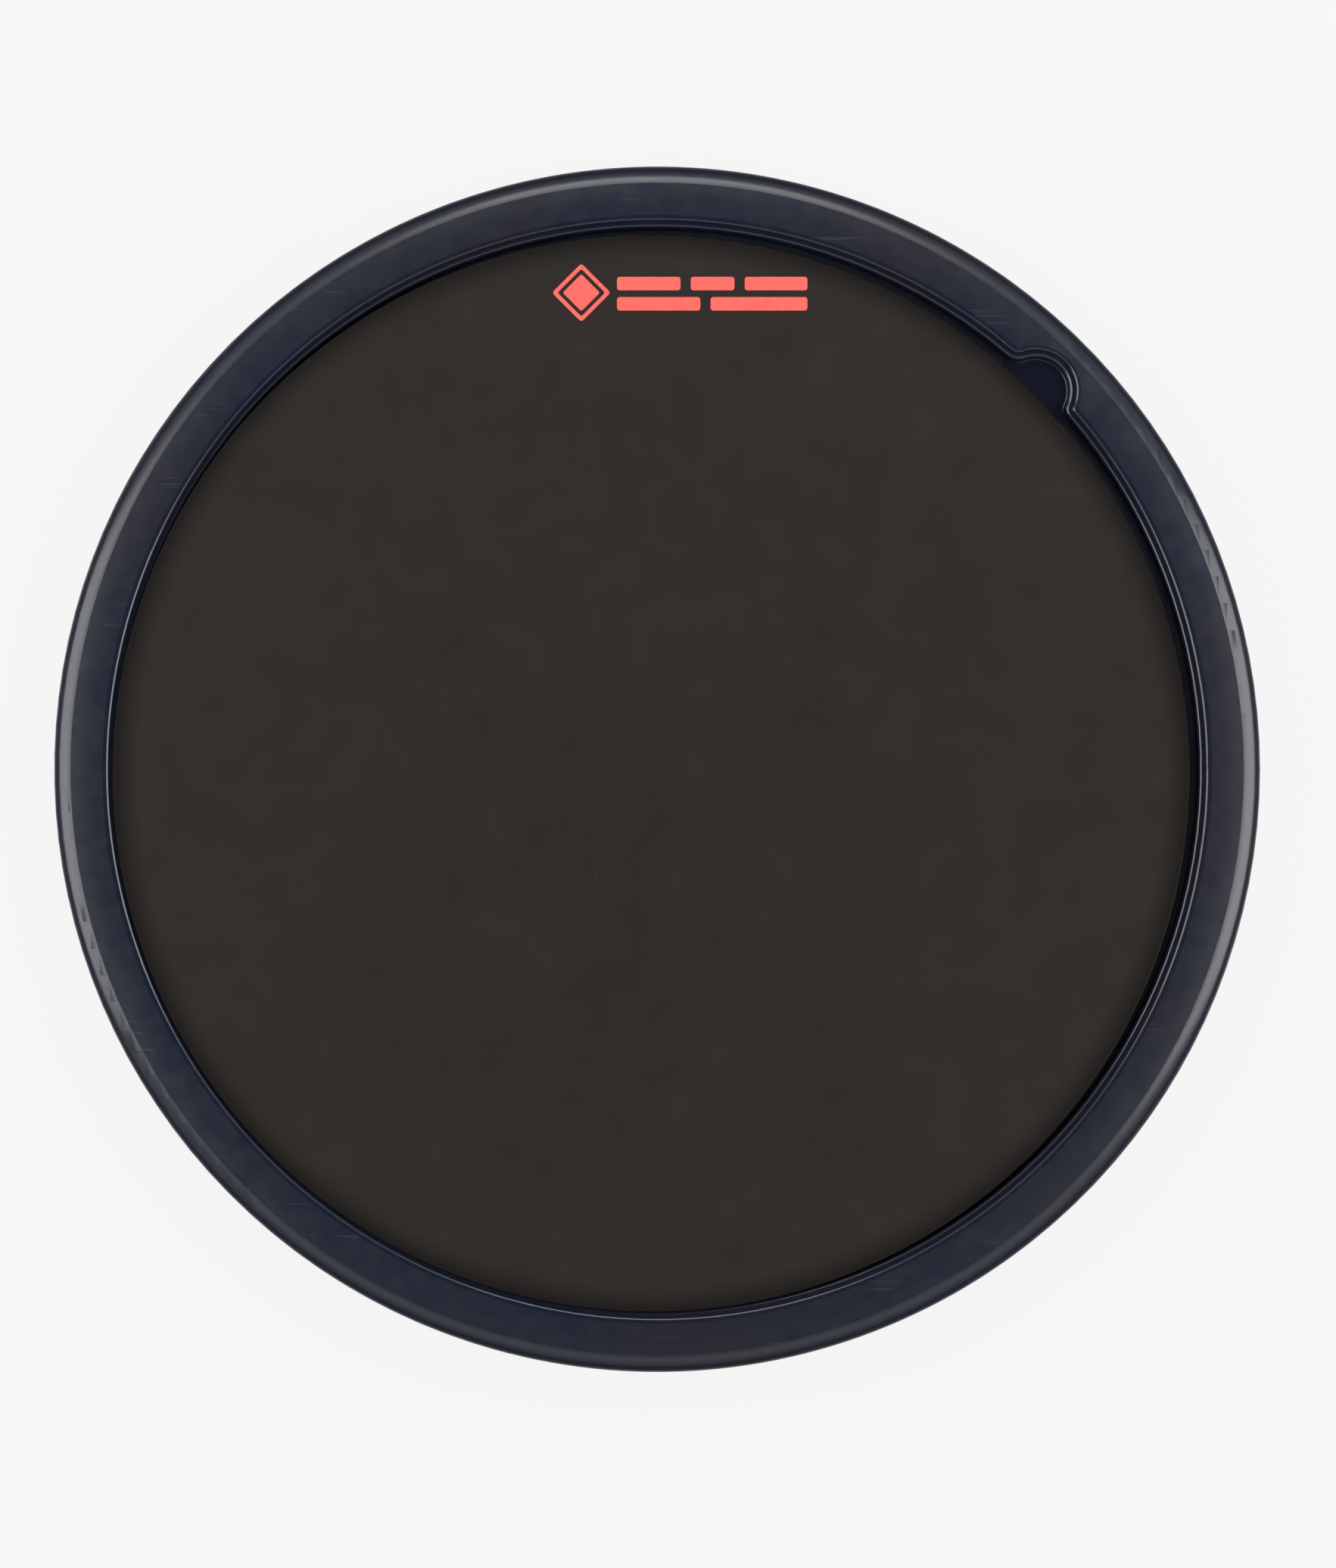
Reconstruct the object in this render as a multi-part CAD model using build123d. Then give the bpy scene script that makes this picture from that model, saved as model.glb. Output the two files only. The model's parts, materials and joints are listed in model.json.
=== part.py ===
from build123d import *
import math
import os

# A round practice pad for drummers. Millimetres, +Z up. The origin is the middle of the circle
# that the feet stand on, and the finger notch lies on the diagonal between +X and +Y.
#
# Two moulded shells, the rim and the tray, hold a core board between them and the bottom cover.
# The swap pad lies loose in the tray's recess, where magnets under the floor hold its steel
# plate, and a fingertip in the notch lifts it out.

# ---- Overall sizes ----
PAD_DIAMETER = 304.8
PAD_HEIGHT = 24.0

# ---- Rim shell ----
RIM_TOP_WIDTH = 14.1           # from the recess to the pad's outside
RIM_EDGE_RADIUS = 5.3          # rounding between the rim's top and side
RIM_CROWN_RADIUS = 60.0        # the rim's top falls away gently towards the outside
RIM_LIP_HEIGHT = 1.5           # the lip that covers the tray's wall
RIM_LIP_ROUND = 0.8            # its inner top edge, along the recess and the notch
RIM_FOOT_ROUND = 0.8           # outer bottom edge
RIM_WALL = 3.0                 # side wall
RIM_PLATE = 3.0                # top plate, outside the lip
RIM_CORNER_BEVEL = 2.5         # inside, between the side wall and the top plate
BOSS_GAP = 0.7                 # each side of a screw boss, to the side wall and to the tray
BOSS_RIB = 2.0                 # thickness of the rib from a boss to the side wall

# ---- Finger notch ----
NOTCH_ANGLE = 45.0
NOTCH_RADIUS = 10.1            # at the rim's lip
NOTCH_REACH = 6.95             # how far it goes outside the recess circle
NOTCH_LEFT_ROUND = 3.0         # where it meets the recess circle, seen from the pad's middle
NOTCH_CORNER_ROUND = 0.2       # the sharper right side's corner, where the rim is cut back most

# ---- Recess tray ----
LEDGE_WIDTH = 1.75             # how far the tray's wall stands in from the rim's lip
LEDGE_ROUND = 1.2              # top inner edge of the wall
TRAY_WALL = 2.6
TRAY_FLOOR = 2.8
TRAY_FLOOR_ROUND = 0.6         # where the wall meets the floor
TRAY_SKIRT_WALL = 1.5          # ring below the floor that centres the core board
TRAY_SKIRT_DEPTH = 6.0
LUG_INSET = 0.4                # a screw lug's radius is this much less than its boss's

# ---- Swap pad ----
SKIN_THICKNESS = 0.7
SKIN_ROUND = 0.25              # its top edge
SKIN_OVERHANG = 0.8            # the skin is this much wider than the rubber's top, all round
REBOUND_THICKNESS = 3.5
REBOUND_FLARE = 0.6            # the rubber widens by this much, at 45 degrees, up to the skin
PLATE_THICKNESS = 0.8
PLATE_INSET = 0.5              # the steel plate is this much smaller than the rubber, all round
SWAP_PLAY = 2.15               # gap round the rubber when the swap pad is centred
SWAP_SETBACK = 0.5             # how far the swap pad's top lies below the rim's
SWAP_LEAN_ANGLE = 214.0        # the loose swap pad has slid this way
SWAP_NEAREST_GAP = 0.3         # left between the rubber and the wall on that side

# ---- Inside the base ----
MAGNET_COUNT = 6
MAGNET_RADIUS = 6.0
MAGNET_THICKNESS = 2.0
MAGNET_INSET = 40.0            # from the rubber's edge in to the magnets' circle
DAMPING_THICKNESS = 2.0
NUT_BORE_RADIUS = 3.4          # core of an M8 thread
NUT_BARREL_RADIUS = 5.5
NUT_FLANGE_RADIUS = 15.0
NUT_FLANGE_THICKNESS = 1.6
NUT_MOUTH_DEPTH = 0.6          # the barrel ends this far inside the underside
NUT_SCREW_COUNT = 3
NUT_SCREW_COVER = 1.5          # board left below the screws' tips

# ---- Bottom cover and feet ----
COVER_THICKNESS = 2.5
COVER_EDGE_ROUND = 0.4
COLLAR_RADIUS = 13.0           # raised ring round the stand hole
COLLAR_WIDTH = 3.0
COLLAR_HEIGHT = 0.8
GROOVE_COUNT = 3               # moulded rings between the collar and the feet
GROOVE_WIDTH = 2.0
GROOVE_DEPTH = 0.7
FOOT_COUNT = 6
FOOT_RADIUS = 11.0
FOOT_STAND = 2.2               # from the table to the bottom cover
FOOT_SEAT = 1.2                # how deep a foot sits in the cover
FOOT_ROUND = 0.8
FOOT_DISH_RADIUS = 5.0
FOOT_DISH_DEPTH = 0.5
FOOT_INSET = 27.0              # from the side wall in to the feet's circle

# ---- Screws, with plain shanks in place of threads ----
SCREW_COUNT = 6                # of each kind: cover screws, and tray screws between them
SCREW_RADIUS = 1.5
SCREW_HEAD_RADIUS = 2.8
SCREW_HEAD_HEIGHT = 1.6
SCREW_HEAD_ROUND = 0.5
SCREW_HEAD_DEPTH = 0.1         # how far a cover screw's head lies inside the underside
SCREW_SINK_HEIGHT = 1.3        # countersunk head, where it lies flush
DRIVE_WIDTH = 0.7
DRIVE_LENGTH = 3.2
DRIVE_DEPTH = 0.8
COVER_SCREW_LENGTH = 12.0
TRAY_SCREW_BITE = 1.1          # how far a tray screw goes into the top plate

# ---- Clearances ----
FIT = 0.2                      # between mouldings that fit together
SEAT_FIT = 0.1                 # round a magnet, a foot, the nut or a screw's head
SCREW_FIT = 0.05               # round a screw's shank, and past its tip
OVERCUT = 1.0                  # how far a cutting block passes the face it opens

# ---- Radii and heights that follow ----
pad_radius = PAD_DIAMETER / 2
inner_radius = pad_radius - RIM_WALL
recess_radius = pad_radius - RIM_TOP_WIDTH
notch_centre = recess_radius + NOTCH_REACH - NOTCH_RADIUS
wall_radius = recess_radius - LEDGE_WIDTH
wall_outset = TRAY_WALL - LEDGE_WIDTH
notch_right_round = wall_outset + FIT + NOTCH_CORNER_ROUND
skirt_radius = wall_radius + TRAY_WALL
core_radius = skirt_radius - TRAY_SKIRT_WALL - FIT
rubber_radius = wall_radius - SWAP_PLAY
flare_radius = rubber_radius + REBOUND_FLARE
boss_radius = (inner_radius - skirt_radius) / 2 - BOSS_GAP
lug_radius = boss_radius - LUG_INSET
screw_ring = (inner_radius + skirt_radius) / 2
nut_screw_ring = (NUT_BARREL_RADIUS + NUT_FLANGE_RADIUS) / 2
foot_ring = inner_radius - FOOT_INSET
magnet_ring = rubber_radius - MAGNET_INSET

cover_bottom = FOOT_STAND
cover_top = cover_bottom + COVER_THICKNESS
ledge_top = PAD_HEIGHT - RIM_LIP_HEIGHT
plate_bottom = PAD_HEIGHT - RIM_PLATE
skin_top = PAD_HEIGHT - SWAP_SETBACK
rubber_top = skin_top - SKIN_THICKNESS
steel_top = rubber_top - REBOUND_THICKNESS
floor_top = steel_top - PLATE_THICKNESS
floor_bottom = floor_top - TRAY_FLOOR
core_top = floor_bottom - DAMPING_THICKNESS
cover_screw_seat = cover_bottom + SCREW_HEAD_DEPTH + SCREW_HEAD_HEIGHT
tray_screw_length = plate_bottom + TRAY_SCREW_BITE - floor_bottom
nut_screw_length = core_top - cover_top - NUT_SCREW_COVER

swap_slide = SWAP_PLAY - SWAP_NEAREST_GAP
swap_x = swap_slide * math.cos(math.radians(SWAP_LEAN_ANGLE))
swap_y = swap_slide * math.sin(math.radians(SWAP_LEAN_ANGLE))

screw_step = 360 / SCREW_COUNT
cover_screw_angles = [screw_step * i for i in range(SCREW_COUNT)]
tray_screw_angles = [screw_step * (i + 0.5) for i in range(SCREW_COUNT)]
foot_angles = [360 / FOOT_COUNT * (i + 0.5) for i in range(FOOT_COUNT)]
magnet_angles = [360 / MAGNET_COUNT * i for i in range(MAGNET_COUNT)]
nut_screw_angles = [360 / NUT_SCREW_COUNT * i for i in range(NUT_SCREW_COUNT)]


# ---- Helpers ----
def disc(radius, bottom, top):
    """An upright cylinder on the axis, between two heights."""
    return Pos(0, 0, bottom) * Cylinder(radius, top - bottom, align=(Align.CENTER, Align.CENTER, Align.MIN))


def ring(outer, inner, bottom, top):
    """An upright tube on the axis, between two heights."""
    return disc(outer, bottom, top) - disc(inner, bottom, top)


def on_ring(shape, radius, angle):
    """The shape moved out from the axis by radius, then turned about the axis by angle."""
    return Rot(0, 0, angle) * Pos(radius, 0, 0) * shape


def junction(inset, rounding, side):
    """The arc that joins the recess circle to the finger circle, on one side (1 or -1) of the notch.

    Returns its points on the recess circle, halfway, and on the finger circle.
    """
    circle_radius = recess_radius - inset
    finger_radius = NOTCH_RADIUS - inset
    # The arc touches both circles from outside, so its centre is this far from theirs.
    from_circle = circle_radius + rounding + inset
    from_finger = finger_radius + rounding + inset
    x = (from_circle**2 - from_finger**2 + notch_centre**2) / (2 * notch_centre)
    centre = Vector(x, side * math.sqrt(from_circle**2 - x**2))
    finger_centre = Vector(notch_centre, 0)
    start = centre * (circle_radius / from_circle)
    end = finger_centre + (centre - finger_centre) * (finger_radius / from_finger)
    middle = centre + ((start + end) / 2 - centre).normalized() * (rounding + inset)
    return start, middle, end


def recess_outline(inset):
    """The recess circle with its finger notch, drawn this far inside the rim's own outline."""
    left_start, left_middle, left_end = junction(inset, NOTCH_LEFT_ROUND, 1)
    right_start, right_middle, right_end = junction(inset, notch_right_round, -1)
    with BuildSketch() as outline:
        with BuildLine():
            ThreePointArc(right_start, (inset - recess_radius, 0), left_start)
            ThreePointArc(left_start, left_middle, left_end)
            ThreePointArc(left_end, (notch_centre + NOTCH_RADIUS - inset, 0), right_end)
            ThreePointArc(right_end, right_middle, right_start)
        make_face()
    return Rot(0, 0, NOTCH_ANGLE) * outline.sketch


def recess_block(inset, bottom, top):
    """The recess outline as an upright block between two heights."""
    return Pos(0, 0, bottom) * extrude(recess_outline(inset), top - bottom)


def drive_cross(top):
    """The cross that a screwdriver turns, cut down from a height."""
    slot = Pos(0, 0, top) * Box(DRIVE_LENGTH, DRIVE_WIDTH, 2 * DRIVE_DEPTH)
    return slot + Rot(0, 0, 90) * slot


def shank(length):
    """A screw's shank and tip, pointing up from height 0."""
    tip = Cone(SCREW_RADIUS, SCREW_RADIUS / 3, SCREW_RADIUS, align=(Align.CENTER, Align.CENTER, Align.MIN))
    return disc(SCREW_RADIUS, 0, length - SCREW_RADIUS) + Pos(0, 0, length - SCREW_RADIUS) * tip


def pan_screw(length):
    """A pan-head screw pointing up, its head below height 0."""
    head = disc(SCREW_HEAD_RADIUS, -SCREW_HEAD_HEIGHT, 0)
    head = fillet(head.edges().filter_by(GeomType.CIRCLE).sort_by(Axis.Z)[0], SCREW_HEAD_ROUND)
    return head - drive_cross(-SCREW_HEAD_HEIGHT) + shank(length)


def sink(clearance):
    """The cone under a countersunk head, its wide end at height 0."""
    cone = Cone(SCREW_RADIUS + clearance, SCREW_HEAD_RADIUS + clearance, SCREW_SINK_HEIGHT)
    return Pos(0, 0, -SCREW_SINK_HEIGHT / 2) * cone


def sunk_screw(length):
    """A countersunk screw pointing down, flush with height 0."""
    return sink(0) - drive_cross(0) + Rot(180, 0, 0) * shank(length)


def screw_hole(bottom, top, angle):
    """A hole on the screws' circle for a shank."""
    return on_ring(disc(SCREW_RADIUS + SCREW_FIT, bottom, top), screw_ring, angle)


def save(name, *pieces):
    """Writes one node: a single piece, or a group of separate identical pieces."""
    shape = pieces[0] if len(pieces) == 1 else Compound(children=list(pieces))
    export_step(shape, f"parts/{name}.step")


# ---- Base ----
def rim_profile():
    """Half of the rim's outer shape: up the side, round the edge and back along the crowned top."""
    edge_x = pad_radius - RIM_EDGE_RADIUS
    crown_z = PAD_HEIGHT - RIM_CROWN_RADIUS
    # The edge's arc touches the crown's arc from inside, so their centres are this far apart in height.
    rise = math.sqrt((RIM_CROWN_RADIUS - RIM_EDGE_RADIUS) ** 2 - (edge_x - recess_radius) ** 2)
    edge_z = crown_z + rise
    tilt = math.atan2(edge_x - recess_radius, rise)

    def crown(angle):
        return Vector(math.sin(angle), math.cos(angle)) * RIM_CROWN_RADIUS + Vector(recess_radius, crown_z)

    def edge(angle):
        return Vector(math.sin(angle), math.cos(angle)) * RIM_EDGE_RADIUS + Vector(edge_x, edge_z)

    top = (recess_radius, PAD_HEIGHT)
    foot = (pad_radius, cover_bottom)
    with BuildSketch(Plane.XZ) as profile:
        with BuildLine():
            Polyline(top, (0, PAD_HEIGHT), (0, cover_bottom), foot, (pad_radius, edge_z))
            ThreePointArc((pad_radius, edge_z), edge((tilt + math.pi / 2) / 2), crown(tilt))
            ThreePointArc(crown(tilt), crown(tilt / 2), top)
        make_face()
    return profile.sketch


def rim_boss(bottom, angle):
    """A screw boss under the top plate, with a rib out to the side wall."""
    post = disc(boss_radius, bottom, plate_bottom)
    reach = pad_radius - RIM_WALL / 2 - screw_ring
    rib = Box(reach, BOSS_RIB, plate_bottom - bottom, align=(Align.MIN, Align.CENTER, Align.MIN))
    return on_ring(post + Pos(0, 0, bottom) * rib, screw_ring, angle)


def lip_edges(shell):
    """The top edges of the lip's upright faces, along the recess and the notch."""
    walls = [f for f in shell.faces().filter_by(GeomType.CYLINDER) if f.bounding_box().min.Z > plate_bottom]
    edges = ShapeList(e for wall in walls for e in wall.edges().filter_by(GeomType.LINE, reverse=True))
    return edges.filter_by(lambda e: e.center().Z > ledge_top + RIM_LIP_HEIGHT / 2)


def rim_shell():
    shell = revolve(rim_profile(), Axis.Z)
    cavity = disc(inner_radius, cover_bottom, plate_bottom)
    cavity = chamfer(cavity.edges().filter_by(GeomType.CIRCLE).sort_by(Axis.Z)[-1], RIM_CORNER_BEVEL)
    shell -= cavity
    outer_foot = shell.edges().filter_by(GeomType.CIRCLE).group_by(Axis.Z)[0].sort_by(SortBy.RADIUS)[-1]
    shell = fillet(outer_foot, RIM_FOOT_ROUND)
    shell -= recess_block(-wall_outset - FIT, plate_bottom - RIM_CORNER_BEVEL, ledge_top)
    shell -= recess_block(0, ledge_top - OVERCUT, PAD_HEIGHT + OVERCUT)
    shell = fillet(lip_edges(shell), RIM_LIP_ROUND)
    for angle in cover_screw_angles:
        shell += rim_boss(cover_top, angle)
        shell -= screw_hole(cover_top, cover_screw_seat + COVER_SCREW_LENGTH + SCREW_FIT, angle)
    for angle in tray_screw_angles:
        shell += rim_boss(floor_top, angle)
        shell -= screw_hole(floor_top, floor_bottom + tray_screw_length + SCREW_FIT, angle)
    return shell


def tray_lug(angle):
    """A rounded ear on the tray, under one of the rim's short bosses."""
    reach = screw_ring - skirt_radius + TRAY_WALL / 2
    arm = Box(reach, 2 * lug_radius, TRAY_FLOOR, align=(Align.MAX, Align.CENTER, Align.MIN))
    ear = disc(lug_radius, floor_bottom, floor_top) + Pos(0, 0, floor_bottom) * arm
    return on_ring(ear, screw_ring, angle)


def recess_tray():
    hollow = recess_block(LEDGE_WIDTH, floor_top, ledge_top + OVERCUT)
    hollow = fillet(hollow.edges().group_by(Axis.Z)[0], TRAY_FLOOR_ROUND)
    tray = recess_block(-wall_outset, floor_bottom, ledge_top) - hollow
    ledge = tray.faces().sort_by(Axis.Z)[-1]
    tray = fillet(ledge.inner_wires()[0].edges(), LEDGE_ROUND)
    skirt_bottom = floor_bottom - TRAY_SKIRT_DEPTH
    tray += ring(skirt_radius, skirt_radius - TRAY_SKIRT_WALL, skirt_bottom, floor_bottom)
    for angle in tray_screw_angles:
        tray += tray_lug(angle)
        tray -= screw_hole(floor_bottom, floor_top, angle)
    for angle in magnet_angles:
        pocket = disc(MAGNET_RADIUS + SEAT_FIT, floor_bottom, floor_bottom + MAGNET_THICKNESS)
        tray -= on_ring(pocket, magnet_ring, angle)
    return tray


def tray_screws():
    screw = Pos(0, 0, floor_bottom) * pan_screw(tray_screw_length)
    return [on_ring(screw, screw_ring, angle) for angle in tray_screw_angles]


def hold_magnet(angle):
    magnet = disc(MAGNET_RADIUS, floor_bottom, floor_bottom + MAGNET_THICKNESS)
    return on_ring(magnet, magnet_ring, angle)


def damping_sheet():
    return disc(core_radius, core_top, floor_bottom)


def core_board():
    board = disc(core_radius, cover_top, core_top)
    board -= disc(NUT_BARREL_RADIUS + SEAT_FIT, cover_top, core_top)
    board -= disc(NUT_FLANGE_RADIUS + SEAT_FIT, core_top - NUT_FLANGE_THICKNESS, core_top)
    for angle in nut_screw_angles:
        hole = disc(SCREW_RADIUS + SCREW_FIT, core_top - nut_screw_length - SCREW_FIT, core_top)
        board -= on_ring(hole, nut_screw_ring, angle)
    return board


def stand_nut():
    flange = disc(NUT_FLANGE_RADIUS, core_top - NUT_FLANGE_THICKNESS, core_top)
    nut = flange + disc(NUT_BARREL_RADIUS, cover_bottom + NUT_MOUTH_DEPTH, core_top)
    nut -= disc(NUT_BORE_RADIUS, cover_bottom, core_top)
    for angle in nut_screw_angles:
        hole = disc(SCREW_RADIUS + SCREW_FIT, core_top - NUT_FLANGE_THICKNESS, core_top)
        nut -= on_ring(hole + Pos(0, 0, core_top) * sink(SCREW_FIT), nut_screw_ring, angle)
    return nut


def nut_screws():
    screw = Pos(0, 0, core_top) * sunk_screw(nut_screw_length)
    return [on_ring(screw, nut_screw_ring, angle) for angle in nut_screw_angles]


def bottom_cover():
    cover = disc(inner_radius - FIT, cover_bottom, cover_top)
    cover = fillet(cover.edges().filter_by(GeomType.CIRCLE).sort_by(Axis.Z)[0], COVER_EDGE_ROUND)
    collar_inner = COLLAR_RADIUS - COLLAR_WIDTH
    cover += ring(COLLAR_RADIUS, collar_inner, cover_bottom - COLLAR_HEIGHT, cover_bottom)
    cover -= disc(NUT_BARREL_RADIUS + FIT, cover_bottom, cover_top)
    groove_step = (foot_ring - FOOT_RADIUS - COLLAR_RADIUS) / (GROOVE_COUNT + 1)
    for i in range(GROOVE_COUNT):
        outer = COLLAR_RADIUS + groove_step * (i + 1) + GROOVE_WIDTH / 2
        cover -= ring(outer, outer - GROOVE_WIDTH, cover_bottom, cover_bottom + GROOVE_DEPTH)
    foot_pocket = disc(FOOT_RADIUS + SEAT_FIT, cover_bottom, cover_bottom + FOOT_SEAT)
    head_pocket = disc(SCREW_HEAD_RADIUS + SEAT_FIT, cover_bottom, cover_screw_seat)
    for angle in foot_angles:
        cover -= on_ring(foot_pocket, foot_ring, angle)
    for angle in cover_screw_angles:
        cover -= screw_hole(cover_bottom, cover_top, angle)
        cover -= on_ring(head_pocket, screw_ring, angle)
    return cover


def cover_screws():
    screw = Pos(0, 0, cover_screw_seat) * pan_screw(COVER_SCREW_LENGTH)
    return [on_ring(screw, screw_ring, angle) for angle in cover_screw_angles]


def rubber_foot(angle):
    foot = disc(FOOT_RADIUS, 0, cover_bottom + FOOT_SEAT) - disc(FOOT_DISH_RADIUS, 0, FOOT_DISH_DEPTH)
    rim = foot.edges().filter_by(GeomType.CIRCLE).group_by(Axis.Z)[0].sort_by(SortBy.RADIUS)[-1]
    return on_ring(fillet(rim, FOOT_ROUND), foot_ring, angle)


# ---- Swap pad ----
def backing_plate():
    return Pos(swap_x, swap_y) * disc(rubber_radius - PLATE_INSET, floor_top, steel_top)


def rebound_layer():
    rubber = disc(rubber_radius, steel_top, rubber_top)
    flare = Cone(rubber_radius, flare_radius, REBOUND_FLARE, align=(Align.CENTER, Align.CENTER, Align.MAX))
    return Pos(swap_x, swap_y) * (rubber + Pos(0, 0, rubber_top) * flare)


def playing_surface():
    skin = disc(flare_radius + SKIN_OVERHANG, rubber_top, skin_top)
    skin = fillet(skin.edges().filter_by(GeomType.CIRCLE).sort_by(Axis.Z)[-1], SKIN_ROUND)
    return Pos(swap_x, swap_y) * skin


# ---- Output ----
os.makedirs("parts", exist_ok=True)

save("rim_shell", rim_shell())
save("recess_tray", recess_tray())
save("tray_screws", *tray_screws())
save("damping_sheet", damping_sheet())
save("core_board", core_board())
save("stand_nut", stand_nut())
save("nut_screws", *nut_screws())
save("bottom_cover", bottom_cover())
save("cover_screws", *cover_screws())
for number, angle in enumerate(magnet_angles, 1):
    save(f"hold_magnet_{number}", hold_magnet(angle))
for number, angle in enumerate(foot_angles, 1):
    save(f"rubber_foot_{number}", rubber_foot(angle))
save("backing_plate", backing_plate())
save("rebound_layer", rebound_layer())
save("playing_surface", playing_surface())
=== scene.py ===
import json
import math

import bmesh
import bpy
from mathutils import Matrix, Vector


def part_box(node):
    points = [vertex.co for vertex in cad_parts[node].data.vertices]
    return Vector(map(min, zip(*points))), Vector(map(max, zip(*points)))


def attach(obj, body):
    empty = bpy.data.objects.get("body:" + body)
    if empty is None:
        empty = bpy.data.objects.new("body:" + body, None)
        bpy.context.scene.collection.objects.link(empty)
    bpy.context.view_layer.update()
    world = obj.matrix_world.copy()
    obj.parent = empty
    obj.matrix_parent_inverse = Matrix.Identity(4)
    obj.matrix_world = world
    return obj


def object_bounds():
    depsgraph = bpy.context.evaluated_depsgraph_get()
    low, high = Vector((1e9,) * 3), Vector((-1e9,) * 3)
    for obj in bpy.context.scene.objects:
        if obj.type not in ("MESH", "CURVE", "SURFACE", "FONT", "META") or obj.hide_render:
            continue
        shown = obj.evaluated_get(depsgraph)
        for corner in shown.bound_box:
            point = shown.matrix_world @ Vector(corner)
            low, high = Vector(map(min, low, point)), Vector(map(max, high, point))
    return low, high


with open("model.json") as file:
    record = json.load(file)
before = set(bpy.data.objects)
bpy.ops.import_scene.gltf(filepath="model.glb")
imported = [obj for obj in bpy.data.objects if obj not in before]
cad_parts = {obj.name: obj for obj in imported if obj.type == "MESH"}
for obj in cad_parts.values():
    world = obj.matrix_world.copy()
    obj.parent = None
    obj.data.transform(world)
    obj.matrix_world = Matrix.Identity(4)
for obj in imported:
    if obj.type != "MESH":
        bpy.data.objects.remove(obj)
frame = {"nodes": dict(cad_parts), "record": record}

cad_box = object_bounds()
MM = 0.001

# ---------------------------------------------------------------- places that the frame gives
pad_low, pad_high = cad_box
TABLE = pad_low.z
PAD_RADIUS = (pad_high.x - pad_low.x) / 2
skin_low, skin_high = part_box("playing_surface")
DISC_CENTRE = (skin_low + skin_high) / 2
DISC_TOP = skin_high.z
DISC_RADIUS = (skin_high.x - skin_low.x) / 2

# ---------------------------------------------------------------- where handling has polished the shells
POLISH_INNER = 136.2 * MM
POLISH_OUTER = 139.5 * MM
POLISH_BLEND = 0.5 * MM        # the polish fades out over this width
NOTCH_CENTRE = (95.6 * MM, 95.6 * MM)
NOTCH_POLISH = 10.9 * MM       # radius round the notch's middle
RIM_WEAR = (PAD_RADIUS - 6 * MM, PAD_RADIUS - 2 * MM)

# ---------------------------------------------------------------- where use has marked the disc, and where shade is painted on its edge
# These two set the painted shade at the skin's edge: the band painted darker for the shade the raised rim
# casts there, and how dark.
PAINTED_EDGE_SHADE = (DISC_RADIUS - 7 * MM, DISC_RADIUS - 1 * MM)
PAINTED_SHADE_COVER = 0.8              # how much of the skin's own colour it hides at the edge
STICK_WEAR = (60 * MM, 120 * MM)


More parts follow.
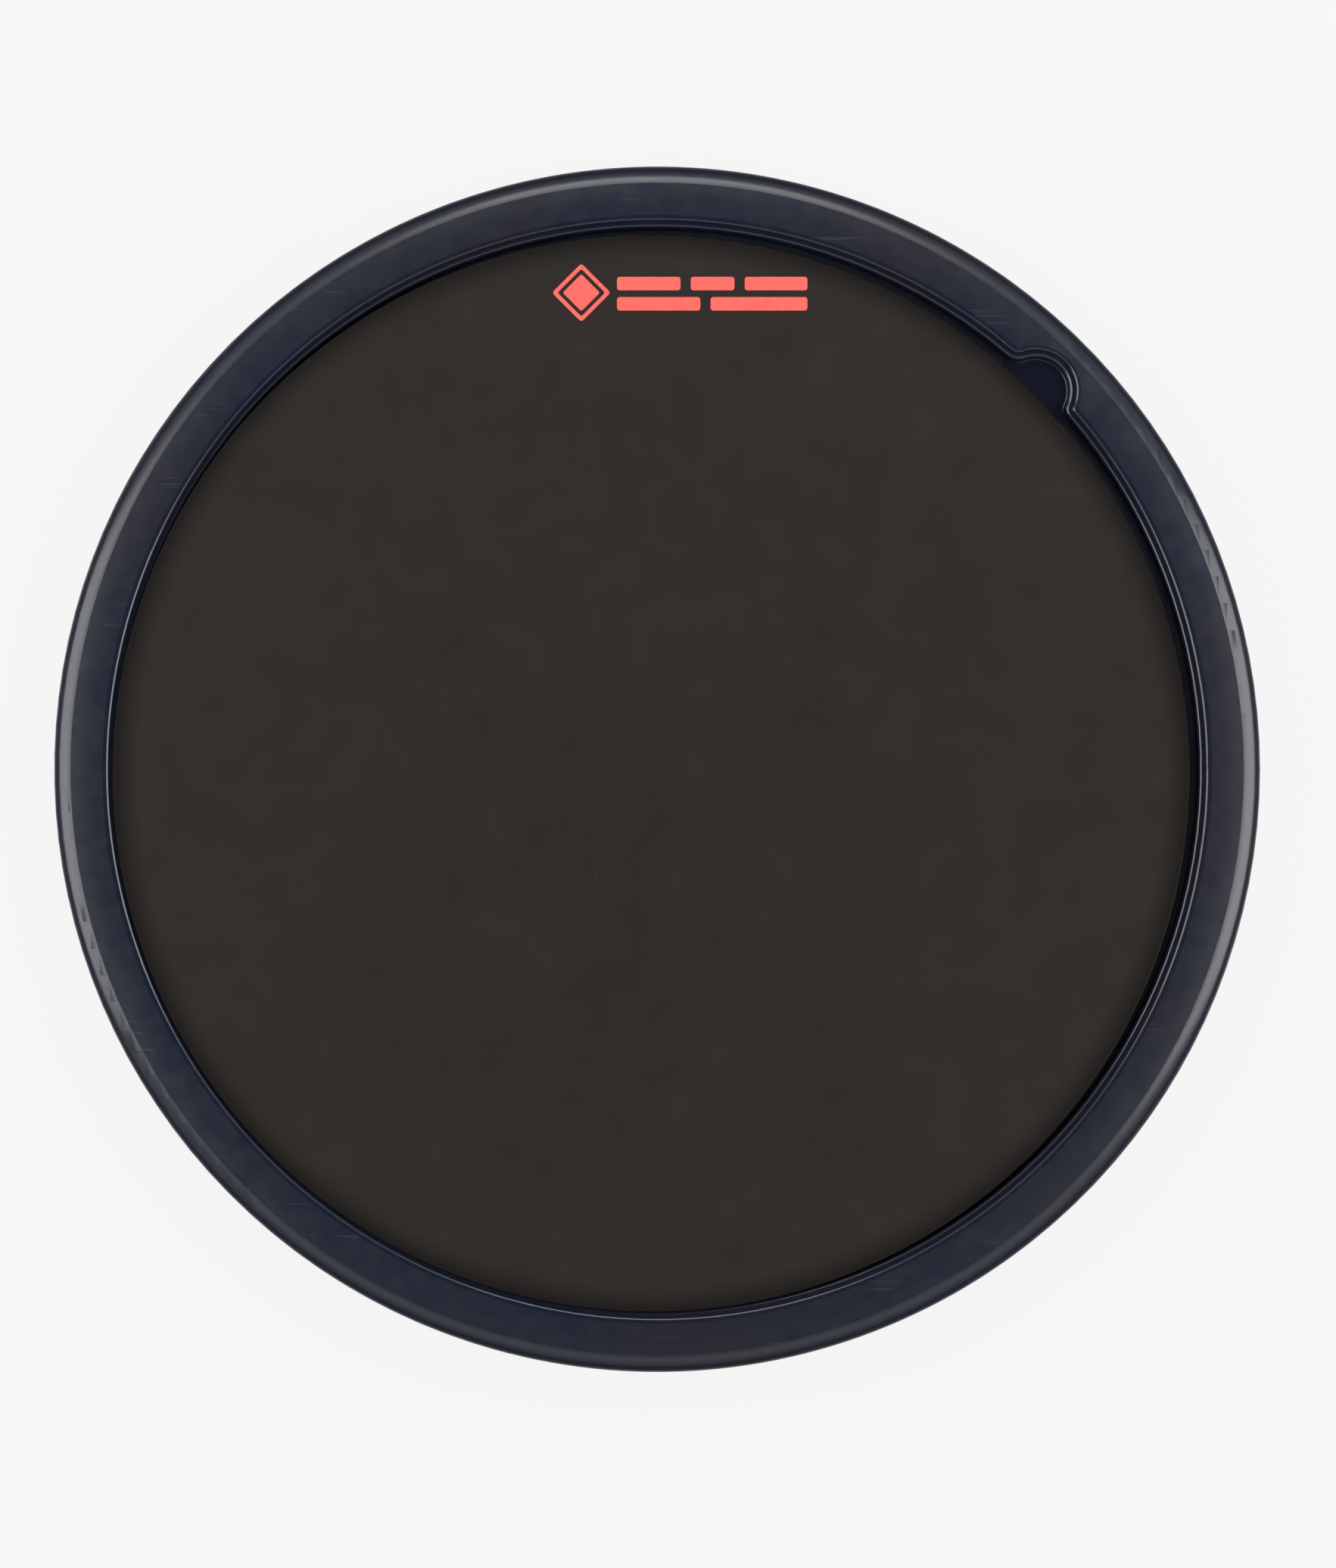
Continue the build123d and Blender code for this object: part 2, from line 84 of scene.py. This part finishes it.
# ---------------------------------------------------------------- shader helpers
class Shader:
    """A material being wired up: each method adds a node and returns its output."""

    def __init__(self, name, metallic=0.0, gloss=0.5):
        self.material = bpy.data.materials.new(name)
        self.material.use_nodes = True
        self.tree = self.material.node_tree
        self.surface = self.tree.nodes["Principled BSDF"]
        self.surface.inputs["Metallic"].default_value = metallic
        self.surface.inputs["Specular IOR Level"].default_value = gloss
        self.place = self.add("ShaderNodeTexCoord").outputs["Object"]

    def add(self, kind, **settings):
        node = self.tree.nodes.new(kind)
        for key, value in settings.items():
            setattr(node, key, value)
        return node

    def link(self, source, target):
        self.tree.links.new(source, target)

    def stretched(self, x, y, z, turn=0.0):
        """The object's coordinates, squeezed along each axis and turned about Z by some degrees."""
        node = self.add("ShaderNodeMapping")
        self.link(self.place, node.inputs["Vector"])
        node.inputs["Rotation"].default_value = (0.0, 0.0, math.radians(turn))
        node.inputs["Scale"].default_value = (x, y, z)
        return node.outputs["Vector"]

    def axis_value(self, axis):
        """One coordinate of the surface point, in metres."""
        node = self.add("ShaderNodeSeparateXYZ")
        self.link(self.place, node.inputs["Vector"])
        return node.outputs[axis]

    def radius(self):
        """Distance from the pad's axis, in metres."""
        flat = self.stretched(1.0, 1.0, 0.0)
        node = self.add("ShaderNodeVectorMath", operation="LENGTH")
        self.link(flat, node.inputs[0])
        return node.outputs["Value"]

    def distance(self, centre):
        """Level distance from a point, in metres."""
        flat = self.stretched(1.0, 1.0, 0.0)
        node = self.add("ShaderNodeVectorMath", operation="DISTANCE")
        self.link(flat, node.inputs[0])
        node.inputs[1].default_value = (*centre, 0.0)
        return node.outputs["Value"]

    def noise(self, size, detail=3.0, place=None):
        """Soft noise whose blobs are about this many metres across."""
        node = self.add("ShaderNodeTexNoise")
        node.inputs["Scale"].default_value = 1.0 / size
        node.inputs["Detail"].default_value = detail
        self.link(place or self.place, node.inputs["Vector"])
        return node.outputs["Fac"]

    def cells(self, size, place=None):
        """Distance to the nearest of scattered points this many metres apart, and its random value."""
        node = self.add("ShaderNodeTexVoronoi")
        node.inputs["Scale"].default_value = 1.0 / size
        self.link(place or self.place, node.inputs["Vector"])
        split = self.add("ShaderNodeSeparateColor")
        self.link(node.outputs["Color"], split.inputs["Color"])
        return node.outputs["Distance"], split.outputs["Red"]

    def span(self, source, low_in, high_in, low_out=0.0, high_out=1.0):
        """Maps a range of a value onto another range, and holds it at the ends."""
        node = self.add("ShaderNodeMapRange")
        self.link(source, node.inputs["Value"])
        ends = {"From Min": low_in, "From Max": high_in, "To Min": low_out, "To Max": high_out}
        for socket, value in ends.items():
            node.inputs[socket].default_value = value
        return node.outputs["Result"]

    def math(self, operation, first, second):
        """Two values, each a socket or a number, put through one arithmetic step."""
        node = self.add("ShaderNodeMath", operation=operation)
        for socket, value in zip(node.inputs, (first, second)):
            if isinstance(value, (int, float)):
                socket.default_value = value
            else:
                self.link(value, socket)
        return node.outputs["Value"]

    def mix(self, factor, first, second):
        """A colour between two, each a socket or a fixed colour."""
        node = self.add("ShaderNodeMix", data_type="RGBA")
        self.link(factor, node.inputs["Factor"])
        for socket, value in ((node.inputs[6], first), (node.inputs[7], second)):
            if isinstance(value, tuple):
                socket.default_value = (*value, 1.0)
            else:
                self.link(value, socket)
        return node.outputs[2]

    def specks(self, size, apart, share):
        """Sparse dust: 1 on round specks of about this size, this far apart, on a share of the places."""
        distance, chance = self.cells(apart)
        spot = self.span(distance, size / apart * 0.35, size / apart * 0.5, 1.0, 0.0)
        return self.math("MULTIPLY", spot, self.span(chance, 1.0 - share - 0.02, 1.0 - share))

    def scratches(self, turn):
        """Fine straight scratches in one direction: 1 on a scratch."""
        lines = self.noise(0.0009, 1.0, self.stretched(0.035, 1.0, 1.0, turn))
        patches = self.noise(0.016, 1.0, self.stretched(1.0, 1.0, 1.0, turn))
        return self.math("MULTIPLY", self.span(lines, 0.66, 0.72), self.span(patches, 0.50, 0.60))

    def bump(self, height, depth, strength=1.0, under=None):
        """A relief of this depth in metres, on top of another one if it is given."""
        node = self.add("ShaderNodeBump")
        node.inputs["Strength"].default_value = strength
        node.inputs["Distance"].default_value = depth
        self.link(height, node.inputs["Height"])
        if under is not None:
            self.link(under, node.inputs["Normal"])
        return node.outputs["Normal"]

    def finish(self, colour, roughness, normal):
        self.link(colour, self.surface.inputs["Base Color"])
        self.link(roughness, self.surface.inputs["Roughness"])
        self.link(normal, self.surface.inputs["Normal"])
        return self.material


def lip_band(s):
    """1 on the rim's lip and the top of the tray's wall, along the recess and the finger notch."""
    beyond_wall = s.span(s.radius(), POLISH_INNER - POLISH_BLEND, POLISH_INNER)
    inside_lip = s.span(s.radius(), POLISH_OUTER, POLISH_OUTER + POLISH_BLEND, 1.0, 0.0)
    from_notch = s.distance(NOTCH_CENTRE)
    in_notch = s.span(from_notch, NOTCH_POLISH, NOTCH_POLISH + POLISH_BLEND, 1.0, 0.0)
    return s.math("MAXIMUM", s.math("MULTIPLY", beyond_wall, inside_lip), in_notch)


# ---------------------------------------------------------------- materials, one for each slot
def shell_plastic():
    """Blue-black satin moulding with a fine spark-eroded grain, polished on the edges that hands rub."""
    s = Shader("shell_plastic")
    grain = s.noise(0.22 * MM, 2.0)
    mottle = s.noise(5 * MM)
    drift = s.noise(45 * MM, 1.0)
    blue = s.mix(s.span(mottle, 0.35, 0.65), (0.0050, 0.0072, 0.0155), (0.0068, 0.0084, 0.0158))
    colour = s.mix(s.span(drift, 0.45, 0.70), blue, (0.0072, 0.0078, 0.0135))
    dust = s.specks(0.25 * MM, 9 * MM, 0.30)
    colour = s.mix(s.math("MULTIPLY", dust, 0.35), colour, (0.16, 0.16, 0.17))
    worn = s.span(s.radius(), *RIM_WEAR, 0.0, 0.03)
    roughness = s.math("SUBTRACT", s.span(mottle, 0.3, 0.7, 0.27, 0.31), worn)
    roughness = s.math("ADD", roughness, s.math("MULTIPLY", s.scratches(28), 0.10))
    polish = s.math("MULTIPLY", lip_band(s), s.span(mottle, 0.3, 0.7, 0.20, 0.17))
    roughness = s.math("SUBTRACT", roughness, polish)
    return s.finish(colour, roughness, s.bump(grain, 0.02 * MM, 0.35))


def playing_skin():
    """Warm dark rubber skin: fine grain, a middle worn smoother by sticks, and painted shade at its edge.
    """
    s = Shader("playing_skin")
    grain = s.noise(0.30 * MM, 2.0)
    cloud = s.noise(28 * MM, 2.0)
    colour = s.mix(s.span(cloud, 0.3, 0.7), (0.0096, 0.0068, 0.0052), (0.0108, 0.0077, 0.0060))
    dust = s.specks(0.40 * MM, 14 * MM, 0.35)
    colour = s.mix(s.math("MULTIPLY", dust, 0.30), colour, (0.11, 0.10, 0.09))
    to_edge = s.distance(DISC_CENTRE.xy)
    # Painted shade: towards the edge the colour is darkened, the specular level lowered and the roughness
    # raised, for the rim's shade.
    painted_shade = s.span(to_edge, *PAINTED_EDGE_SHADE, 0.0, PAINTED_SHADE_COVER)
    colour = s.mix(painted_shade, colour, (0.0022, 0.0017, 0.0015))
    s.link(s.span(painted_shade, 0.0, PAINTED_SHADE_COVER, 0.26, 0.11), s.surface.inputs["Specular IOR Level"])
    worn = s.span(to_edge, *STICK_WEAR, 0.015, 0.0)
    roughness = s.math("SUBTRACT", s.span(s.noise(9 * MM), 0.3, 0.7, 0.42, 0.46), worn)
    roughness = s.math("ADD", roughness, s.math("MULTIPLY", painted_shade, 0.15))
    fine = s.bump(grain, 0.02 * MM, 0.30)
    return s.finish(colour, roughness, s.bump(cloud, 0.15 * MM, 0.05, fine))


def cover_plastic():
    """Black moulding with a coarser texture than the shells, scuffed by tables."""
    s = Shader("cover_plastic")
    grain = s.noise(0.55 * MM, 3.0)
    cloud = s.noise(22 * MM)
    colour = s.mix(s.span(cloud, 0.35, 0.65), (0.0130, 0.0136, 0.0160), (0.0185, 0.0188, 0.0205))
    scuffs = s.math("MAXIMUM", s.scratches(64), s.scratches(-19))
    colour = s.mix(s.math("MULTIPLY", scuffs, 0.5), colour, (0.060, 0.060, 0.064))
    roughness = s.span(grain, 0.3, 0.7, 0.48, 0.60)
    roughness = s.math("SUBTRACT", roughness, s.math("MULTIPLY", scuffs, 0.12))
    return s.finish(colour, roughness, s.bump(grain, 0.05 * MM, 0.5))


def pad_rubber():
    """Dark moulded rubber with fine pores."""
    s = Shader("pad_rubber")
    pores, _ = s.cells(0.7 * MM)
    cloud = s.noise(11 * MM)
    colour = s.mix(s.span(cloud, 0.3, 0.7), (0.0150, 0.0140, 0.0135), (0.0240, 0.0220, 0.0205))
    roughness = s.span(s.noise(1.8 * MM), 0.3, 0.7, 0.68, 0.82)
    return s.finish(colour, roughness, s.bump(s.span(pores, 0.0, 0.35), 0.04 * MM, 0.5))


def foot_rubber():
    """Matt black rubber, grey with dust and rubbed smoother where it stands."""
    s = Shader("foot_rubber")
    grain = s.noise(0.35 * MM)
    low = s.span(s.axis_value("Z"), 0.0, 0.8 * MM, 1.0, 0.0)
    dust = s.math("MULTIPLY", low, s.span(s.noise(2.5 * MM), 0.42, 0.68))
    black = s.mix(s.span(s.noise(6 * MM), 0.3, 0.7), (0.0120, 0.0120, 0.0125), (0.0190, 0.0190, 0.0195))
    colour = s.mix(s.math("MULTIPLY", dust, 0.6), black, (0.075, 0.072, 0.066))
    roughness = s.math("SUBTRACT", s.span(grain, 0.3, 0.7, 0.74, 0.86), s.math("MULTIPLY", low, 0.08))
    return s.finish(colour, roughness, s.bump(grain, 0.05 * MM, 0.5))


def plate_steel():
    """Cold-rolled sheet: streaks along the rolling direction, with faint oil stains."""
    s = Shader("plate_steel", metallic=1.0)
    streaks = s.noise(0.5 * MM, 2.0, s.stretched(0.02, 1.0, 1.0, 12))
    stains = s.noise(32 * MM, 4.0)
    steel = s.mix(s.span(streaks, 0.3, 0.7), (0.40, 0.40, 0.41), (0.56, 0.56, 0.57))
    colour = s.mix(s.span(stains, 0.55, 0.75), steel, (0.34, 0.32, 0.29))
    scratched = s.math("MULTIPLY", s.scratches(71), 0.15)
    roughness = s.math("ADD", s.span(streaks, 0.3, 0.7, 0.30, 0.42), scratched)
    return s.finish(colour, roughness, s.bump(streaks, 0.006 * MM, 0.5))


def nut_steel():
    """Turned steel with bright zinc plating, a little cloudy."""
    s = Shader("nut_steel", metallic=1.0)
    cloud = s.noise(3 * MM, 4.0)
    turning = s.noise(0.25 * MM, 2.0, s.stretched(0.05, 0.05, 1.0))
    colour = s.mix(s.span(cloud, 0.35, 0.65), (0.56, 0.57, 0.58), (0.50, 0.53, 0.57))
    roughness = s.span(cloud, 0.3, 0.7, 0.26, 0.40)
    return s.finish(colour, roughness, s.bump(turning, 0.008 * MM, 0.5))


def screw_steel():
    """Black zinc plating, mottled, with thin bright patches."""
    s = Shader("screw_steel", metallic=1.0)
    cloud = s.noise(1.1 * MM, 4.0)
    black = s.mix(s.span(cloud, 0.35, 0.65), (0.055, 0.055, 0.060), (0.100, 0.098, 0.098))
    colour = s.mix(s.span(s.noise(0.6 * MM), 0.66, 0.74), black, (0.32, 0.31, 0.30))
    roughness = s.span(cloud, 0.3, 0.7, 0.34, 0.50)
    return s.finish(colour, roughness, s.bump(s.noise(0.2 * MM), 0.01 * MM, 0.4))


def magnet_steel():
    """Nickel plating, nearly a mirror, with fine handling scratches."""
    s = Shader("magnet_steel", metallic=1.0)
    cloud = s.noise(2.2 * MM, 3.0)
    colour = s.mix(s.span(cloud, 0.3, 0.7), (0.66, 0.64, 0.60), (0.73, 0.71, 0.68))
    scratched = s.math("MULTIPLY", s.math("MAXIMUM", s.scratches(15), s.scratches(102)), 0.20)
    roughness = s.math("ADD", s.span(cloud, 0.3, 0.7, 0.14, 0.22), scratched)
    return s.finish(colour, roughness, s.bump(s.noise(0.4 * MM), 0.004 * MM, 0.4))


def core_wood():
    """Raw fibre board: pale brown, with short darker fibres lying every way."""
    s = Shader("core_wood")
    along = s.noise(0.5 * MM, 3.0, s.stretched(0.18, 1.0, 1.0, 25))
    across = s.noise(0.5 * MM, 3.0, s.stretched(0.18, 1.0, 1.0, -50))
    fibres = s.math("MAXIMUM", along, across)
    board = s.mix(s.span(s.noise(15 * MM), 0.3, 0.7), (0.36, 0.24, 0.145), (0.43, 0.30, 0.19))
    colour = s.mix(s.span(fibres, 0.56, 0.72), board, (0.20, 0.125, 0.07))
    roughness = s.span(fibres, 0.3, 0.7, 0.78, 0.90)
    return s.finish(colour, roughness, s.bump(fibres, 0.06 * MM, 0.6))


def damping_foam():
    """Dark closed-cell foam."""
    s = Shader("damping_foam")
    cell, tint = s.cells(0.9 * MM)
    colour = s.mix(s.span(tint, 0.2, 0.8), (0.030, 0.030, 0.032), (0.052, 0.052, 0.054))
    roughness = s.span(cell, 0.1, 0.6, 0.90, 0.76)
    return s.finish(colour, roughness, s.bump(s.span(cell, 0.0, 0.6, 1.0, 0.0), 0.2 * MM, 0.6))


def printed_ink():
    """Coral screen-printing ink, slightly uneven where the screen's mesh left it."""
    s = Shader("printed_ink")
    mesh = s.noise(0.30 * MM, 2.0)
    cover = s.noise(1.6 * MM)
    colour = s.mix(s.span(cover, 0.3, 0.7), (0.52, 0.062, 0.048), (0.60, 0.078, 0.062))
    roughness = s.span(mesh, 0.3, 0.7, 0.50, 0.62)
    return s.finish(colour, roughness, s.bump(mesh, 0.015 * MM, 0.5))


SLOT_MAKERS = (
    shell_plastic,
    playing_skin,
    cover_plastic,
    pad_rubber,
    foot_rubber,
    plate_steel,
    nut_steel,
    screw_steel,
    magnet_steel,
    core_wood,
    damping_foam,
)


def paint_nodes():
    """Gives every CAD node the material of its slot in the record."""
    materials = {maker.__name__: maker() for maker in SLOT_MAKERS}
    for part in frame["record"]["subparts"]:
        mesh = frame["nodes"][part["node"]].data
        mesh.materials.clear()
        mesh.materials.append(materials[part["material_slot"]])


# ---------------------------------------------------------------- printed mark: rhombus and dashes
INK_THICKNESS = 0.03 * MM
EMBLEM_AT = (-17.6 * MM, 121.2 * MM)       # from the disc's middle
EMBLEM_REACH = 7.4 * MM                    # from the emblem's middle to its tips
EMBLEM_FRAME = 1.4 * MM
EMBLEM_GAP = 1.3 * MM
EMBLEM_ROUND = 0.8 * MM                    # its outer corners
EMBLEM_INNER_ROUND = 0.5 * MM
DASH_HEIGHT = 3.4 * MM
DASH_GAP = 2.6 * MM
DASH_ROUND = 0.7 * MM
DASH_START = -8.6 * MM
DASH_ROWS = ((123.5 * MM, (16 * MM, 11 * MM, 15.8 * MM)), (118.4 * MM, (21 * MM, 24.4 * MM)))
ARC_STEPS = 8


def rounded(corners, radius):
    """The outline of a polygon, anticlockwise, with its corners rounded to a radius."""
    points = []
    count = len(corners)
    for i, corner in enumerate(corners):
        before = (corners[i - 1] - corner).normalized()
        after = (corners[(i + 1) % count] - corner).normalized()
        half = before.angle(after) / 2
        centre = corner + (before + after).normalized() * radius / math.sin(half)
        start = corner + before * radius / math.tan(half) - centre
        end = corner + after * radius / math.tan(half) - centre
        for step in range(ARC_STEPS + 1):
            points.append(centre + start.slerp(end, step / ARC_STEPS) * radius)
    return points


def rhombus(middle, reach, radius):
    tips = (Vector((reach, 0)), Vector((0, reach)), Vector((-reach, 0)), Vector((0, -reach)))
    return rounded([middle + tip for tip in tips], radius)


def add_print(form, outline, hole=None):
    """Adds one flat patch of ink, with a raised edge, to the mesh."""
    top = DISC_TOP + INK_THICKNESS
    loops = [[(p.x, p.y) for p in ring] for ring in (outline, hole) if ring]
    upper = [[form.verts.new((x, y, top)) for x, y in loop] for loop in loops]
    lower = [[form.verts.new((x, y, DISC_TOP - INK_THICKNESS)) for x, y in loop] for loop in loops]
    for high, low, inwards in zip(upper, lower, (False, True)):
        for i in range(len(high)):
            j = (i + 1) % len(high)
            wall = (low[i], low[j], high[j], high[i])
            form.faces.new(reversed(wall) if inwards else wall)
    if hole:
        count = len(outline)
        for i in range(count):
            j = (i + 1) % count
            form.faces.new((upper[0][i], upper[0][j], upper[1][j], upper[1][i]))
            form.faces.new((lower[0][j], lower[0][i], lower[1][i], lower[1][j]))
    else:
        form.faces.new(upper[0])
        form.faces.new(reversed(lower[0]))


def printed_mark():
    """The generic mark near the disc's far edge, printed on its skin."""
    form = bmesh.new()
    centre = DISC_CENTRE.xy
    middle = centre + Vector(EMBLEM_AT)
    inner = EMBLEM_REACH - EMBLEM_FRAME
    outline = rhombus(middle, EMBLEM_REACH, EMBLEM_ROUND)
    add_print(form, outline, rhombus(middle, inner, EMBLEM_INNER_ROUND))
    add_print(form, rhombus(middle, inner - EMBLEM_GAP, EMBLEM_INNER_ROUND))
    for up, lengths in DASH_ROWS:
        left = DASH_START
        for length in lengths:
            corner = centre + Vector((left, up - DASH_HEIGHT / 2))
            sides = ((0, 0), (length, 0), (length, DASH_HEIGHT), (0, DASH_HEIGHT))
            add_print(form, rounded([corner + Vector(side) for side in sides], DASH_ROUND))
            left += length + DASH_GAP
    mesh = bpy.data.meshes.new("printed_mark")
    form.to_mesh(mesh)
    form.free()
    mesh.materials.append(printed_ink())
    mark = bpy.data.objects.new("printed_mark", mesh)
    bpy.context.scene.collection.objects.link(mark)
    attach(mark, "swap_pad")


# ---------------------------------------------------------------- stage, lights and camera
FLOOR_REACH = 10.0
FLOOR_GLOW = 0.875             # a pale light table, with hardly a shadow round the pad
FLOOR_COLOUR = (0.03, 0.03, 0.03)
BACKDROP = 0.93
# The room's light: how far up a direction points, from -1 to 1, and how bright it is there.
SKY = (
    (-1.00, 0.90),
    (-0.75, 0.30),
    (-0.50, 0.10),
    (-0.05, 0.10),
    (0.10, 0.50),
    (0.35, 0.60),
    (0.60, 1.05),
    (0.78, 1.05),
    (0.90, 0.12),
    (1.00, 0.05),
)
# Soft boxes: name, degrees from straight above, compass turn from +X, distance,
# size across and up, and power in watts.
SOFT_BOXES = (
    ("left_box", 61, 180, 1.6, (1.35, 1.75), 31),
    ("right_box", 61, 0, 1.6, (1.35, 1.75), 35),
    ("far_box", 47, 90, 1.6, (0.90, 0.71), 9),
)
LENS = 200.0
SENSOR = 36.0
VIEW_HEIGHT = 0.3964           # of the picture, at the pad's top
VIEW_CENTRE = (2.74 * MM, -3.73 * MM)
VIEW_LEVEL = 18 * MM
VIEW_DEPTH = 50.0              # how far away the camera still sees things


def floor():
    """A pale table for the camera alone, clear from below. The sky gives the light from below."""
    turns = ((-1, -1), (1, -1), (1, 1), (-1, 1))
    corners = [(x * FLOOR_REACH, y * FLOOR_REACH, TABLE) for x, y in turns]
    mesh = bpy.data.meshes.new("floor")
    mesh.from_pydata(corners, [], [(0, 1, 2, 3)])
    plane = bpy.data.objects.new("floor", mesh)
    bpy.context.scene.collection.objects.link(plane)
    s = Shader("floor", gloss=0.0)
    s.surface.inputs["Base Color"].default_value = (*FLOOR_COLOUR, 1.0)
    s.surface.inputs["Roughness"].default_value = 1.0
    s.surface.inputs["Emission Color"].default_value = (1.0, 1.0, 1.0, 1.0)
    s.surface.inputs["Emission Strength"].default_value = FLOOR_GLOW
    clear = s.add("ShaderNodeBsdfTransparent")
    either = s.add("ShaderNodeMixShader")
    s.link(s.add("ShaderNodeNewGeometry").outputs["Backfacing"], either.inputs["Fac"])
    s.link(s.surface.outputs["BSDF"], either.inputs[1])
    s.link(clear.outputs["BSDF"], either.inputs[2])
    s.link(either.outputs["Shader"], s.tree.nodes["Material Output"].inputs["Surface"])
    mesh.materials.append(s.material)
    plane.visible_diffuse = False
    plane.visible_glossy = False
    plane.visible_shadow = False


def soft_box(name, tilt, turn, distance, size, power):
    """A soft box that faces the pad's middle. The camera doesn't see the box itself."""
    lamp = bpy.data.lights.new(name, "AREA")
    lamp.shape = "RECTANGLE"
    lamp.size, lamp.size_y = size
    lamp.energy = power
    holder = bpy.data.objects.new(name, lamp)
    bpy.context.scene.collection.objects.link(holder)
    tilt, turn = math.radians(tilt), math.radians(turn)
    sideways = math.sin(tilt)
    away = Vector((sideways * math.cos(turn), sideways * math.sin(turn), math.cos(tilt)))
    holder.location = away * distance
    holder.rotation_mode = "QUATERNION"
    holder.rotation_quaternion = away.to_track_quat("Z", "Y")
    holder.visible_camera = False


def studio_sky():
    """A room that is dark overhead and brighter lower down, in front of a pale backdrop."""
    world = bpy.data.worlds.new("studio")
    bpy.context.scene.world = world
    world.use_nodes = True
    nodes, links = world.node_tree.nodes, world.node_tree.links
    direction = nodes.new("ShaderNodeSeparateXYZ")
    links.new(nodes.new("ShaderNodeTexCoord").outputs["Generated"], direction.inputs["Vector"])
    height = nodes.new("ShaderNodeMapRange")
    height.inputs["From Min"].default_value = -1.0
    links.new(direction.outputs["Z"], height.inputs["Value"])
    ramp = nodes.new("ShaderNodeValToRGB")
    links.new(height.outputs["Result"], ramp.inputs["Fac"])
    stops = ramp.color_ramp.elements
    while len(stops) < len(SKY):
        stops.new(0.5)
    for stop, (up, brightness) in zip(stops, SKY):
        stop.position = (up + 1) / 2
        stop.color = (brightness, brightness, brightness, 1.0)
    seen = nodes.new("ShaderNodeMix")
    seen.data_type = "RGBA"
    links.new(nodes.new("ShaderNodeLightPath").outputs["Is Camera Ray"], seen.inputs["Factor"])
    links.new(ramp.outputs["Color"], seen.inputs[6])
    seen.inputs[7].default_value = (BACKDROP, BACKDROP, BACKDROP, 1.0)
    links.new(seen.outputs[2], nodes["Background"].inputs["Color"])


def overhead_camera():
    """The camera looks straight down, with +Y up in the picture."""
    data = bpy.data.cameras.new("camera")
    data.lens = LENS
    data.sensor_width = SENSOR
    data.clip_end = VIEW_DEPTH
    camera = bpy.data.objects.new("camera", data)
    bpy.context.scene.collection.objects.link(camera)
    camera.location = (*VIEW_CENTRE, VIEW_LEVEL + VIEW_HEIGHT * LENS / SENSOR)
    bpy.context.scene.camera = camera


# ---------------------------------------------------------------- build
paint_nodes()
printed_mark()
floor()
for box in SOFT_BOXES:
    soft_box(*box)
studio_sky()
overhead_camera()
bpy.context.scene.view_settings.view_transform = "Standard"
